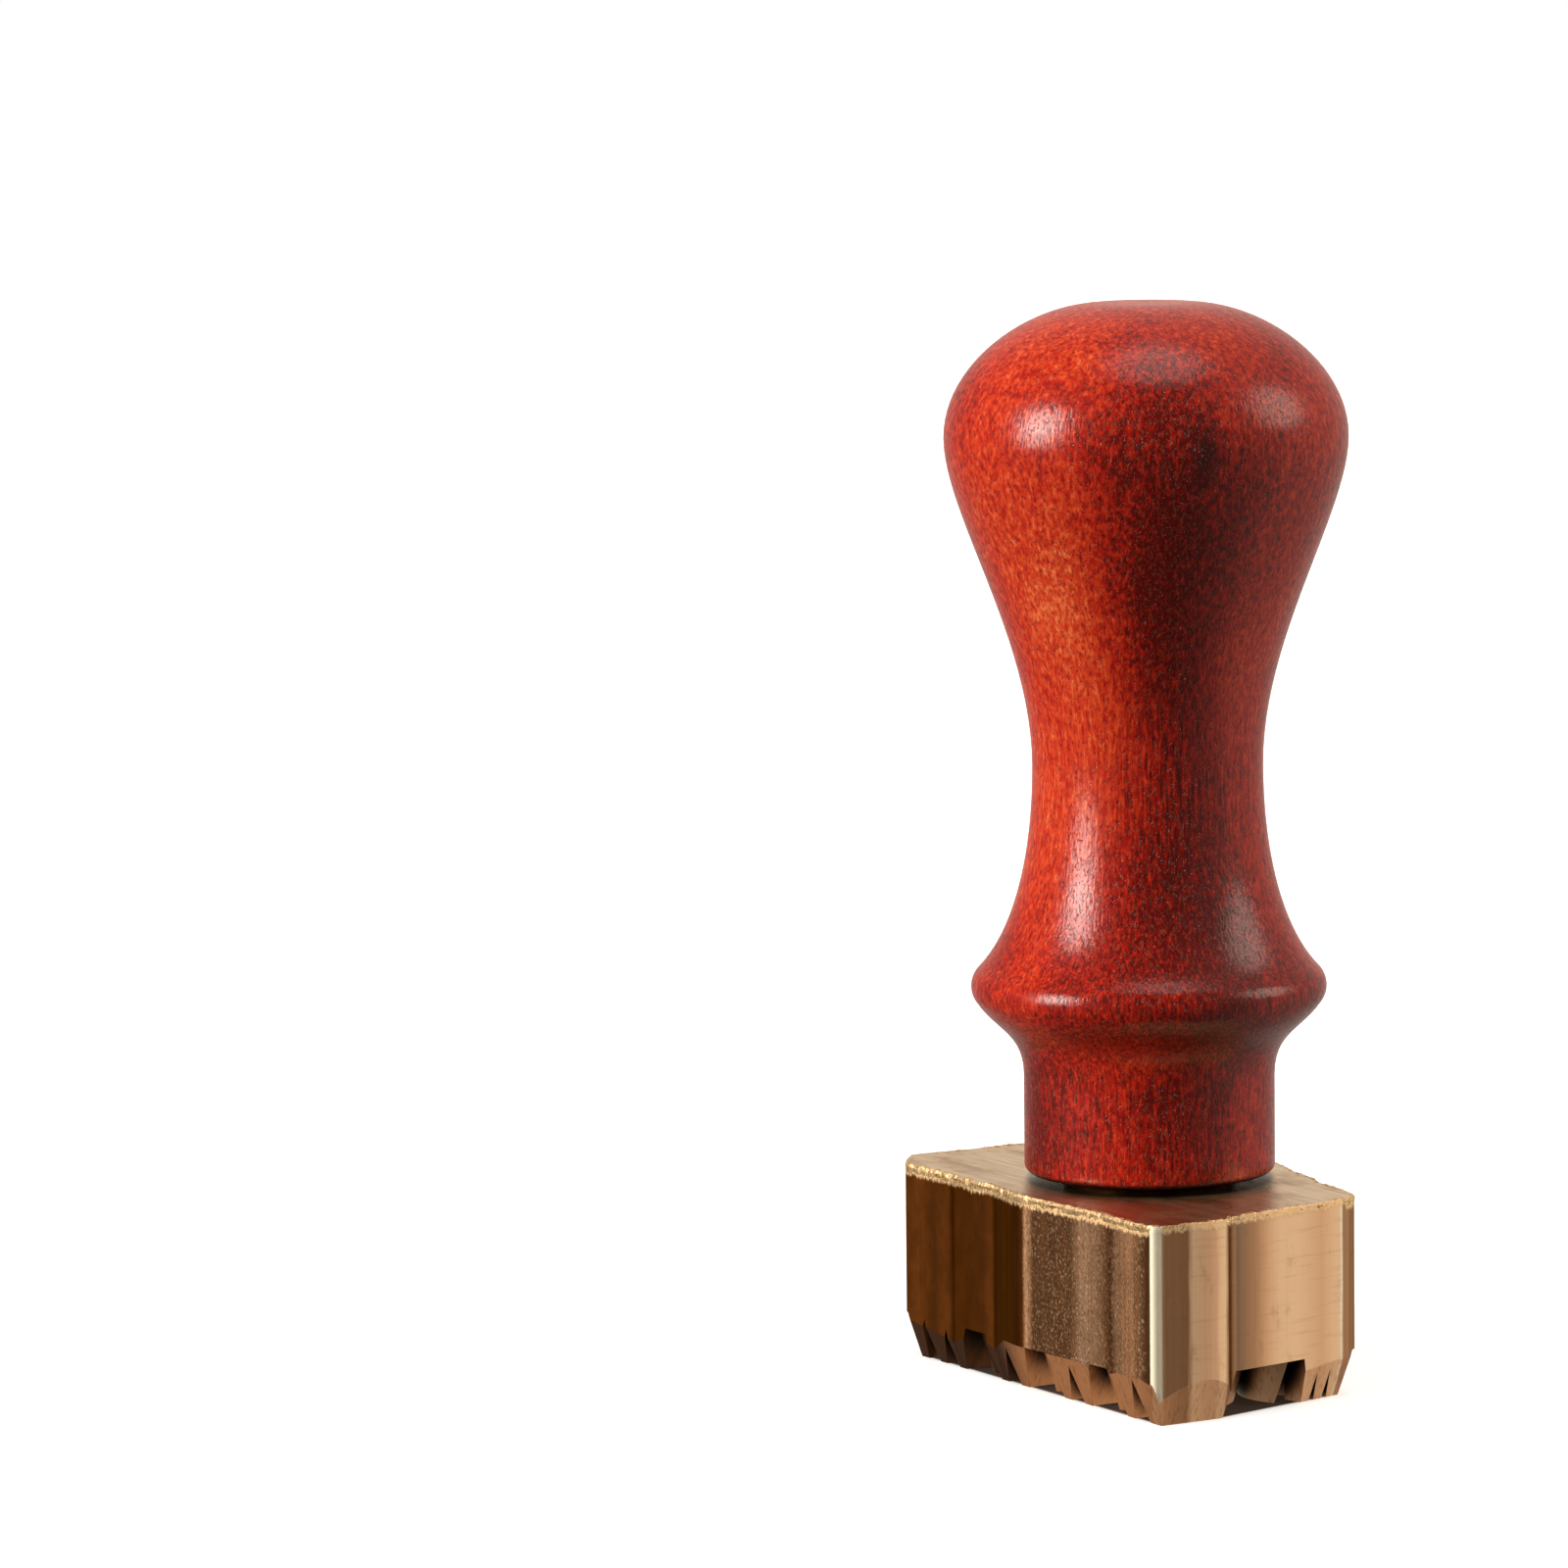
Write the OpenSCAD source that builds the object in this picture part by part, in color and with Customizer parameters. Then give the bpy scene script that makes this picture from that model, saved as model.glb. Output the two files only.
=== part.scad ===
/* [Handle] */
// Diameter of the rounded head at its widest
head_d = 35.1; // [33:0.1:38]
// Height of the head's widest line above the handle's foot
head_h = 64.3; // [62:0.1:67]
// Length of the turned handle
handle_l = 75.9; // [73:0.1:80]
// Diameter of the almost flat crown on top of the dome
crown_d = 7.8; // [5:0.1:11]
// Diameter of the waist, where the fingers close
waist_d = 20.1; // [18:0.1:23]
// Height of the waist above the handle's foot
waist_h = 35.8; // [33:0.1:39]
// Diameter of the collar ridge
collar_d = 31; // [29:0.1:33]
// Height of the collar ridge above the handle's foot
collar_h = 16.4; // [15.5:0.1:18]
// Radius of the bead that the collar ridge is turned to
bead_r = 2.2; // [1.6:0.1:2.8]
// Diameter of the straight neck below the collar
neck_d = 21.9; // [20.5:0.1:23]
// Height of the straight neck
neck_h = 8.5; // [7:0.1:9.5]
// Rounding of the rim at the handle's foot
rim_round = 0.8; // [0.3:0.1:1.2]

/* [Threaded insert] */
// Outer diameter of the insert that is pressed into the handle
insert_d = 11.6; // [11:0.1:12.5]
// Length of the insert with its flange
insert_l = 13; // [12.5:0.1:14]
// Diameter of the insert's flange
flange_d = 15; // [13.5:0.1:17]
// Thickness of the flange, which is the gap under the handle
flange_t = 0.6; // [0.4:0.1:1]
// Glue gap round the insert
glue_gap = 0.03; // [0.01:0.01:0.06]
// Depth of the handle's bore past the end of the insert
bore_spare = 2; // [1:0.1:4]

/* [Stud] */
// Nominal diameter of the thread
thread_d = 8; // [7.5:0.1:8.5]
// Radial clearance between the stud and each thread that holds it
thread_gap = 0.05; // [0.02:0.01:0.08]
// Length of the stud
stud_l = 22; // [21:0.1:22.3]
// Depth to which the stud enters the die
stud_in_die = 10.4; // [9.5:0.1:10.8]
// Depth of the blind tapped hole in the die
hole_depth = 11.2; // [11:0.1:12]
// Bevel on both ends of the stud and at the mouths of the tapped holes
lead_in = 0.5; // [0.3:0.1:0.8]

/* [Die] */
// Overall length of the die
die_l = 44.1; // [42.5:0.1:48]
// Overall width of the die
die_w = 28.8; // [27.8:0.1:32]
// Height of the die with its relief
die_h = 17.3; // [17:0.1:22]
// Height of the relief, from its face to the floor of the recess
relief_h = 3.95; // [3:0.05:4]
// Draft angle of the flanks of the relief
draft = 17.6; // [12:0.1:19]
// Inset of the relief's feet from the wall of the die
foot_inset = 1.05; // [0.8:0.05:1.2]

/* [Relief] */
// Width of the darts of the border, at their face
dart_w = 1.1; // [0.9:0.05:1.3]
// Length of the darts
dart_l = 3.4; // [2.6:0.1:4.2]
// Width of the petals of the border, at their face
petal_w = 1.2; // [0.9:0.05:1.6]
// Length of the petals of the border
petal_l = 3.2; // [2.8:0.1:3.6]
// Distance between the two darts of a border group
dart_step = 3.2; // [2.9:0.05:3.5]
// Radius of the round pearls, at their face
pearl_r = 0.6; // [0.4:0.05:0.8]
// Number of petals of the rosette
rosette_n = 8; // [6:1:9]
// Radius of the rosette's hub, at its face
hub_r = 1.6; // [1.2:0.1:2]
// Radius of the rosette over its petals
rosette_r = 7.3; // [6.6:0.1:7.5]
// Width of the rosette's petals, at their face
rosette_w = 1.9; // [1.4:0.1:2.2]
// Radius of each side palmette over its petals
palmette_r = 7.4; // [6.8:0.1:7.8]
// Width of the palmettes' petals, at their face
palmette_w = 1.5; // [1.2:0.1:1.8]
// Number of fine flutes of each fringe
fringe_n = 3; // [2:1:4]
// Distance between the flutes of a fringe
fringe_step = 1.6; // [1.5:0.05:1.8]

/* [Hidden] */
$fn = 96;

// How far each curve of the turned outline runs on along its tangent
COVE_LEADS = [3.8, 3.0];
FLARE_LEADS = [4.3, 8.3];
BELLY_LEADS = [11.1, 6.5];
DOME_LEADS = [6.4, 6.3];
// Angles of the collar bead below and above its widest line
BEAD_BELOW = 34;
BEAD_ABOVE = 44;

// Depth to which the relief is sunk into the body, and the spare by which cutting shapes reach past a face
OVERLAP = 0.55;
SPARE = 1;
// Draft angle of the fine flutes
FINE_DRAFT = 6.5;
THREAD_R = thread_d / 2;
TAPPED_R = THREAD_R + thread_gap;
HANDLE_FOOT = die_h + flange_t;

// Walls of the die, before the flutes
RIGHT = die_l / 2;
LEFT = -die_l / 2;
FRONT = -die_w / 2;
BACK = die_w / 2;
FLUTE = 0.65;

// Stations of the contour, anticlockwise from the near corner: x, y and the swell of the arc to the next
CONTOUR = [
    [RIGHT - 0.55, FRONT + 1.15, 0.08],
    [RIGHT - 0.1, FRONT + 4.6, 0.12],
    [RIGHT - 0.3, FRONT + 8.0, 0],
    [RIGHT - 0.85, FRONT + 8.6, -0.12],
    [RIGHT - 1.1, FRONT + 9.7, 0.1],
    [RIGHT - 3.1, FRONT + 21.3, -0.04],
    [RIGHT - 3.25, FRONT + 22.1, 0.42],
    [RIGHT - 4.9, BACK - 4.8, 0.2],
    [10.8, BACK - 3.9, 0.3],
    [4.6, BACK - 2.3, 0.3],
    [-2.6, BACK - 0.75, 0.35],
    [-10.4, BACK - 0.4, 0.4],
    [LEFT + 3.8, BACK - 1.2, 0.8],
    [LEFT + 0.8, BACK - 4.2, 0.45],
    [LEFT + 0.6, 2.6, 0.35],
    [LEFT + 0.4, -4.6, 0.12],
    [LEFT, FRONT + 3.6, 0.12],
    [LEFT + 3.3, FRONT + FLUTE + 0.25, 0.1],
    [LEFT + 4.1, FRONT + FLUTE, 0.02],
    [-10.9, FRONT + FLUTE + 0.3, 0.2],
    [-4.0, FRONT + FLUTE + 0.15, 0.02],
    [0.6, FRONT + 0.02, 0.06],
    [13.4, FRONT + FLUTE + 0.05, 0.22],
    [RIGHT - 1.35, FRONT + FLUTE - 0.1, 0.3]
];

// Level of the straight half of the back foot line, where it starts to slant, and its slant
BACK_LEVEL = BACK - 0.6 - foot_inset;
BACK_BREAK = -2.6;
BACK_SLANT = 13.5;

// Corners of the convex line on which the relief's feet end, anticlockwise from the near corner
FOOT_FRONT = FRONT + FLUTE + foot_inset;
FOOT_LINE = [
    [RIGHT - 0.2 - foot_inset, FOOT_FRONT],
    [RIGHT - 0.2 - foot_inset, FRONT + 8.6],
    [RIGHT - 3.3 - foot_inset, FRONT + 22],
    [RIGHT - 5.3 - foot_inset, BACK - 4.7 - foot_inset],
    [BACK_BREAK, BACK_LEVEL],
    [LEFT + 3.6 + foot_inset, BACK_LEVEL],
    [LEFT + 0.4 + foot_inset, BACK - 4.2],
    [LEFT + 0.2 + foot_inset, FRONT + 4.2],
    [LEFT + 3.5 + foot_inset, FOOT_FRONT]
];

// Middles of the border groups along X, and of the gaps between them that hold a pearl
FRONT_GROUPS = [-12.2, -2.1, 8];
FRONT_PEARLS = [-7.15, 2.95, 12.9];
BACK_GROUPS = [-13.4, -4.2, 5];
BACK_PEARLS = [-8.8, 0.4, 9.9];
// Single dart between the last pearl of the front border and the near corner
END_DART_X = 16.3;
// Distance of the border's petals from the foot line
PETAL_BACK = 1.2;
// Place of the right palmette, radius of its hub, and the angle between its petals
PALMETTE_X = 10.4;
PALMETTE_Y = 0.9;
PALMETTE_HUB = 1.1;
PALMETTE_STEP = 35;
// Clear ring between a hub and the tips of its petals
ROSETTE_RING = 1.2;
PALMETTE_RING = 0.7;
// First flute of the right and left fringe, the slant of the right fringe, and a flute's run and width
RIGHT_FRINGE = [RIGHT - 2.4, 3.7];
LEFT_FRINGE = [LEFT + 0.8, 3.7];
FRINGE_SLANT = 13;
FRINGE_L = 2.6;
FRINGE_W = 1;
// Width of the bars in the corners, how far inside the foot line they are centred, and the near one's length
CORNER_BAR_W = 1.9;
CORNER_BAR_IN = 0.6;
NEAR_BAR_L = 5.5;
// Sides of the foot line that have a bar of their own length: right back, left back and left front corner
BAR_SIDES = [2, 5, 7];

// Points of a cubic curve between two ends, given the points that its ends head for
function curve(a, b, c, d, n = 14) = [
    for (i = [1:n])
        let (t = i / n, u = 1 - t)
            u * u * u * a + 3 * u * u * t * b + 3 * u * t * t * c + t * t * t * d
];

// Points of an arc round a centre
function arc(centre, r, from, to, n = 8) = [
    for (i = [0:n])
        let (angle = from + (to - from) * i / n)
            centre + r * [cos(angle), sin(angle)]
];

// Points of a shallow arc from p towards q that swells outwards to the right of its run
function swell(p, q, sag, n = 6) =
    let (run = q - p, side = [run[1], -run[0]] / norm(run))
        [for (i = [0:n - 1]) let (t = i / n) p + t * run + 4 * sag * t * (1 - t) * side];

// Outline of the handle's right half, as radius and height above its foot
function handle_outline() =
    let (
        neck = [neck_d / 2, neck_h],
        waist = [waist_d / 2, waist_h],
        head = [head_d / 2, head_h],
        crown = [crown_d / 2, handle_l],
        bead = [collar_d / 2 - bead_r, collar_h],
        low = bead + bead_r * [cos(BEAD_BELOW), -sin(BEAD_BELOW)],
        low_run = [sin(BEAD_BELOW), cos(BEAD_BELOW)],
        high = bead + bead_r * [cos(BEAD_ABOVE), sin(BEAD_ABOVE)],
        high_run = [-sin(BEAD_ABOVE), cos(BEAD_ABOVE)]
    )
    concat(
        [[0, 0]],
        arc([neck[0] - rim_round, rim_round], rim_round, -90, 0),
        [neck],
        curve(neck, neck + [0, COVE_LEADS[0]], low - COVE_LEADS[1] * low_run, low),
        [for (i = [1:8]) arc(bead, bead_r, -BEAD_BELOW, BEAD_ABOVE)[i]],
        curve(high, high + FLARE_LEADS[0] * high_run, waist - [0, FLARE_LEADS[1]], waist),
        curve(waist, waist + [0, BELLY_LEADS[0]], head - [0, BELLY_LEADS[1]], head),
        curve(head, head + [0, DOME_LEADS[0]], crown + [DOME_LEADS[1], 0], crown),
        [[0, handle_l]]
    );

// A tapped hole's space, from the bottom of the hole up, with a bevelled mouth
module tapped_space(depth) {
    cylinder(h = depth + SPARE, r = TAPPED_R);
    translate([0, 0, depth - lead_in])
        cylinder(h = lead_in + 0.1, r1 = TAPPED_R, r2 = TAPPED_R + lead_in + 0.1);
}

// Plan of the die, cut along the contour of its design
module contour() {
    last = len(CONTOUR) - 1;
    polygon([
        for (i = [0:last])
            let (p = CONTOUR[i], q = CONTOUR[i == last ? 0 : i + 1])
                each swell([p[0], p[1]], [q[0], q[1]], p[2])
    ]);
}

// Widening of a flank from its face up to the height at which it meets the die
function widening(angle) = (relief_h + OVERLAP) * tan(angle);

// A bar with round ends and drafted flanks, along X from 0 to its length
module bar(length, width, angle = draft) {
    h = relief_h + OVERLAP;
    half = width / 2;
    top = half + widening(angle);
    rotate([90, 0, 90])
        linear_extrude(length)
            polygon([[-half, 0], [half, 0], [top, h], [-top, h]]);
    for (x = [0, length])
        translate([x, 0, 0])
            rotate(x == 0 ? 90 : -90)
                rotate_extrude(angle = 180)
                    polygon([[0, 0], [half, 0], [top, h], [0, h]]);
}

// A pointed petal with drafted flanks, along X from 0 to its length
module petal(length, width) {
    r = (length * length + width * width) / (4 * width);
    translate([length / 2, 0, 0])
        intersection_for (side = [-1, 1])
            translate([0, side * (r - width / 2), 0])
                cylinder(h = relief_h + OVERLAP, r1 = r, r2 = r + widening(draft));
}

// A round pearl with a drafted flank
module pearl(radius) {
    cylinder(h = relief_h + OVERLAP, r1 = radius, r2 = radius + widening(draft));
}

// One dart of the border, pointing along +Y from the foot line
module dart() {
    translate([0, -foot_inset, 0])
        rotate(90)
            bar(dart_l + foot_inset - dart_w / 2, dart_w);
}

// One group of the border, pointing along +Y from the foot line: two darts with a petal between them
module border_group() {
    translate([0, PETAL_BACK, 0])
        rotate(90)
            petal(petal_l, petal_w);
    for (side = [-0.5, 0.5])
        translate([side * dart_step, 0, 0])
            dart();
}

// Leaf and dart border along the front wall, with pearls in its gaps
module front_border() {
    for (x = FRONT_GROUPS)
        translate([x, FOOT_FRONT, 0])
            border_group();
    translate([END_DART_X, FOOT_FRONT, 0])
        dart();
    for (x = FRONT_PEARLS)
        translate([x, FOOT_FRONT + dart_l / 2, 0])
            pearl(pearl_r);
}

// Place of the back foot line along Y, at x
function back_foot(x) = BACK_LEVEL - max(0, x - BACK_BREAK) * tan(BACK_SLANT);

// The same border along the back wall, which slants on its right half
module back_border() {
    for (x = BACK_GROUPS)
        translate([x, back_foot(x), 0])
            rotate(x > 0 ? 180 - BACK_SLANT : 180)
                border_group();
    for (x = BACK_PEARLS)
        translate([x, back_foot(x) - dart_l / 2, 0])
            pearl(pearl_r);
}

// Rosette of pointed petals round a hub, on the handle's axis
module rosette() {
    inner = hub_r + ROSETTE_RING;
    pearl(hub_r);
    for (i = [0:rosette_n - 1])
        rotate((i + 0.5) * 360 / rosette_n)
            translate([inner, 0, 0])
                petal(rosette_r - inner, rosette_w);
}

// Fan of five petals round a small hub, opening along +X
module palmette() {
    inner = PALMETTE_HUB + PALMETTE_RING;
    pearl(PALMETTE_HUB);
    for (i = [-2:2])
        rotate(i * PALMETTE_STEP)
            translate([inner, 0, 0])
                petal(palmette_r - inner, palmette_w);
}

// Row of fine steep flutes that run inwards from a side wall
module fringe() {
    for (i = [0:fringe_n - 1])
        translate([0, i * fringe_step, 0])
            rotate(180)
                bar(FRINGE_L, FRINGE_W, FINE_DRAFT);
}

// Bars that close the border in the corners of the die
module corner_bars() {
    translate([FOOT_LINE[0][0] - CORNER_BAR_IN, FOOT_FRONT - SPARE, 0])
        rotate(90)
            bar(NEAR_BAR_L + SPARE, CORNER_BAR_W);
    for (i = BAR_SIDES) {
        run = FOOT_LINE[i + 1] - FOOT_LINE[i];
        translate([FOOT_LINE[i][0], FOOT_LINE[i][1], 0])
            rotate(atan2(run[1], run[0]))
                translate([0, CORNER_BAR_IN, 0])
                    bar(norm(run), CORNER_BAR_W);
    }
}

// Space between sloping planes through the foot line, so that the relief's outer ends are flat flanks
module envelope() {
    reach = die_l + die_w;
    top = relief_h + OVERLAP + SPARE;
    last = len(FOOT_LINE) - 1;
    intersection_for (i = [0:last]) {
        p = FOOT_LINE[i];
        q = FOOT_LINE[i == last ? 0 : i + 1];
        translate([p[0], p[1], 0])
            rotate(atan2(q[1] - p[1], q[0] - p[0]))
                translate([reach, 0, 0])
                    rotate([90, 0, -90])
                        linear_extrude(2 * reach)
                            polygon([
                                [-SPARE * tan(draft), -SPARE],
                                [top * tan(draft), top],
                                [-reach, top],
                                [-reach, -SPARE]
                            ]);
    }
}

// Trims a part of the relief to the contour of the die and to its drafted foot line
module trimmed() {
    intersection() {
        translate([0, 0, -SPARE])
            linear_extrude(relief_h + OVERLAP + 2 * SPARE)
                contour();
        envelope();
        union()
            children();
    }
}

// The raised design: borders and fringes that end on the foot line, and the field inside them
module relief() {
    trimmed()
        back_border();
    trimmed()
        front_border();
    rosette();
    for (side = [0, 1])
        mirror([side, 0, 0])
            translate([PALMETTE_X, PALMETTE_Y, 0])
                palmette();
    trimmed()
        corner_bars();
    trimmed()
        translate([RIGHT_FRINGE[0], RIGHT_FRINGE[1], 0])
            rotate(FRINGE_SLANT)
                fringe();
    trimmed()
        translate([LEFT_FRINGE[0], LEFT_FRINGE[1], 0])
            mirror([1, 0, 0])
                fringe();
}

// Turned hardwood handle with a blind bore for the insert
module handle() {
    color([0.55, 0.13, 0.08])
        translate([0, 0, HANDLE_FOOT])
            difference() {
                rotate_extrude()
                    polygon(handle_outline());
                translate([0, 0, -SPARE])
                    cylinder(h = insert_l - flange_t + bore_spare + SPARE, r = insert_d / 2 + glue_gap);
            }
}

// Flanged brass insert, glued into the handle and threaded on the stud
module threaded_insert() {
    color([0.72, 0.55, 0.28])
        difference() {
            union() {
                translate([0, 0, die_h])
                    cylinder(h = flange_t, r = flange_d / 2);
                translate([0, 0, die_h])
                    cylinder(h = insert_l, r = insert_d / 2);
            }
            translate([0, 0, die_h - SPARE])
                cylinder(h = insert_l + 2 * SPARE, r = TAPPED_R);
        }
}

// Steel stud that joins the die and the handle
module stud() {
    bevel_r = THREAD_R - lead_in;
    color([0.6, 0.6, 0.62])
        translate([0, 0, die_h - stud_in_die])
            rotate_extrude()
                polygon([
                    [0, 0],
                    [bevel_r, 0],
                    [THREAD_R, lead_in],
                    [THREAD_R, stud_l - lead_in],
                    [bevel_r, stud_l],
                    [0, stud_l]
                ]);
}

// Milled brass die: contour-cut body, drafted relief below, tapped hole above
module die_block() {
    color([0.76, 0.6, 0.36])
        difference() {
            union() {
                translate([0, 0, relief_h])
                    linear_extrude(die_h - relief_h)
                        contour();
                relief();
            }
            translate([0, 0, die_h - hole_depth])
                tapped_space(hole_depth);
        }
}

handle();
threaded_insert();
stud();
die_block();
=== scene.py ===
"""Dresses the packed clay stamp: turned hardwood handle, milled brass die and their hardware."""

import logging
import math
from dataclasses import dataclass
from enum import Enum, IntEnum
from typing import Iterable, Sequence

import bpy
from mathutils import Euler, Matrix, Quaternion, Vector, geometry

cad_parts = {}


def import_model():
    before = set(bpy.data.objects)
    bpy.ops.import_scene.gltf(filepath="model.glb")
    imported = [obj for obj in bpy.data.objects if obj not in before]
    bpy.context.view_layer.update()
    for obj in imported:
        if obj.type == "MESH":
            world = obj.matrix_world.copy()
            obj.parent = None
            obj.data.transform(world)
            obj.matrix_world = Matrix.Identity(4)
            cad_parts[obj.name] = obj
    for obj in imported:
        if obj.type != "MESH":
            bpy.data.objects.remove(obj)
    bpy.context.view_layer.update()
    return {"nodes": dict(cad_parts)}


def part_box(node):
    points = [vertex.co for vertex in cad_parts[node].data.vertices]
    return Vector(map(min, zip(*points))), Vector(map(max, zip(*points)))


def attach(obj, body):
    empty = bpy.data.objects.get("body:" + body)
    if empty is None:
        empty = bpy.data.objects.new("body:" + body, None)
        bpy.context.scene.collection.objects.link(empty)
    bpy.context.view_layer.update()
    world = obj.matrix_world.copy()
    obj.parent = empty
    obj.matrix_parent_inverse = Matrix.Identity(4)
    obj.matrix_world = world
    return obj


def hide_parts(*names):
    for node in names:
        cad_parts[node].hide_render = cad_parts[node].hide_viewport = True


LOG = logging.getLogger("clay_stamp")
MM = 0.001
WELD = 1e-6
FACET_WELD = 2e-6

Colour = tuple[float, float, float]
Point2 = tuple[float, float]
Point3 = tuple[float, float, float]
Piece = bpy.types.Object
Material = bpy.types.Material
Socket = bpy.types.NodeSocket
Feed = Socket | float | Sequence[float]


def linear(red: int, green: int, blue: int) -> Colour:
    """Turns a colour seen on screen, 0 to 255, into scene-linear values.

    Args:
        red: Red, as on screen.
        green: Green, as on screen.
        blue: Blue, as on screen.

    Returns:
        The linear colour.
    """
    seen = [value / 255 for value in (red, green, blue)]
    return tuple(v / 12.92 if v <= 0.04045 else ((v + 0.055) / 1.055) ** 2.4 for v in seen)


class Finish(Enum):
    """Finishes of the stamp's surfaces, by material name."""

    HARDWOOD = "stained_hardwood"
    BORE_WOOD = "bored_wood"
    FLUTED_WALL = "fluted_brass_wall"
    MILLED_TOP = "milled_brass_top"
    RELIEF_FLANK = "relief_flank_brass"
    RELIEF_FACE = "relief_face_brass"
    RECESS = "recess_floor_brass"
    BURR = "burr_brass"
    TURNED_BRASS = "turned_brass"
    PLATED_STEEL = "plated_steel"
    PAPER = "studio_paper"


@dataclass(frozen=True)
class Spot:
    """Ellipsoid in which a finish changes, in millimetres, and how much it does in the middle."""

    centre: Point3
    reach: Point3
    share: float = 1.0


class Graph:
    """Builds a node tree step by step."""

    def __init__(self, owner: Material | bpy.types.World) -> None:
        """Empties the owner's node tree.

        Args:
            owner: Material or world.
        """
        owner.use_nodes = True
        self.tree = owner.node_tree
        self.tree.nodes.clear()

    def node(self, kind: str, **settings: object) -> bpy.types.Node:
        """Adds a node.

        Args:
            kind: Blender's name of the node type.
            **settings: Properties of the node to set.

        Returns:
            The new node.
        """
        made = self.tree.nodes.new(kind)
        for name, value in settings.items():
            setattr(made, name, value)
        return made

    def feed(self, socket: Socket, value: Feed) -> None:
        """Links an output to a socket, or sets the socket to a constant.

        Args:
            socket: Input socket.
            value: Output socket, number or vector.
        """
        if isinstance(value, Socket):
            self.tree.links.new(value, socket)
        else:
            socket.default_value = value

    def vector(self, operation: str, first: Feed, second: Feed = (0, 0, 0)) -> Socket:
        """One vector operation.

        Args:
            operation: Name of the operation.
            first: First vector.
            second: Second vector, or the factor of a SCALE operation.

        Returns:
            The output vector or number.
        """
        made = self.node("ShaderNodeVectorMath", operation=operation)
        self.feed(made.inputs[0], first)
        self.feed(made.inputs["Scale" if operation == "SCALE" else 1], second)
        return made.outputs["Value" if operation in ("DOT_PRODUCT", "LENGTH") else "Vector"]

    def math(self, operation: str, first: Feed, second: Feed) -> Socket:
        """One operation on numbers.

        Args:
            operation: Name of the operation.
            first: First number.
            second: Second number.

        Returns:
            The output number.
        """
        made = self.node("ShaderNodeMath", operation=operation)
        self.feed(made.inputs[0], first)
        self.feed(made.inputs[1], second)
        return made.outputs[0]

    def plus(self, first: Feed, second: Feed) -> Socket:
        """Sum of two numbers."""
        return self.math("ADD", first, second)

    def minus(self, first: Feed, second: Feed) -> Socket:
        """Difference of two numbers."""
        return self.math("SUBTRACT", first, second)

    def times(self, first: Feed, second: Feed) -> Socket:
        """Product of two numbers."""
        return self.math("MULTIPLY", first, second)

    def rise(
        self, value: Feed, low: float, high: float, start: float = 0, end: float = 1
    ) -> Socket:
        """Clamped smooth map of a number from one span onto another.

        Args:
            value: Number to map.
            low: Where the rise begins.
            high: Where it ends.
            start: Result below the rise.
            end: Result above it.

        Returns:
            The mapped number.
        """
        made = self.node("ShaderNodeMapRange", interpolation_type="SMOOTHSTEP")
        names = ("Value", "From Min", "From Max", "To Min", "To Max")
        for name, number in zip(names, (value, low, high, start, end)):
            self.feed(made.inputs[name], number)
        return made.outputs["Result"]

    def ramp(self, value: Feed, stops: Iterable[tuple[float, Colour]]) -> Socket:
        """Colours along a number.

        Args:
            value: Number from 0 to 1.
            stops: Places and linear colours, in order.

        Returns:
            The colour.
        """
        made = self.node("ShaderNodeValToRGB")
        self.feed(made.inputs["Fac"], value)
        points = made.color_ramp.elements
        for index, (place, colour) in enumerate(stops):
            point = points[index] if index < 2 else points.new(place)
            point.position = place
            point.color = (*colour, 1)
        return made.outputs["Color"]

    def mix(self, share: Feed, first: Feed, second: Feed, blend: str = "MIX") -> Socket:
        """Mixes two colours.

        Args:
            share: How much of the second, from 0 to 1.
            first: First colour.
            second: Second colour.
            blend: Blend type.

        Returns:
            The mixed colour.
        """
        made = self.node("ShaderNodeMix", data_type="RGBA", blend_type=blend)
        sockets = [s for s in made.inputs if s.type == "RGBA"]
        self.feed(made.inputs[0], share)
        for socket, value in zip(sockets, (first, second)):
            self.feed(socket, (*value, 1) if isinstance(value, tuple) else value)
        return next(s for s in made.outputs if s.type == "RGBA")


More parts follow.
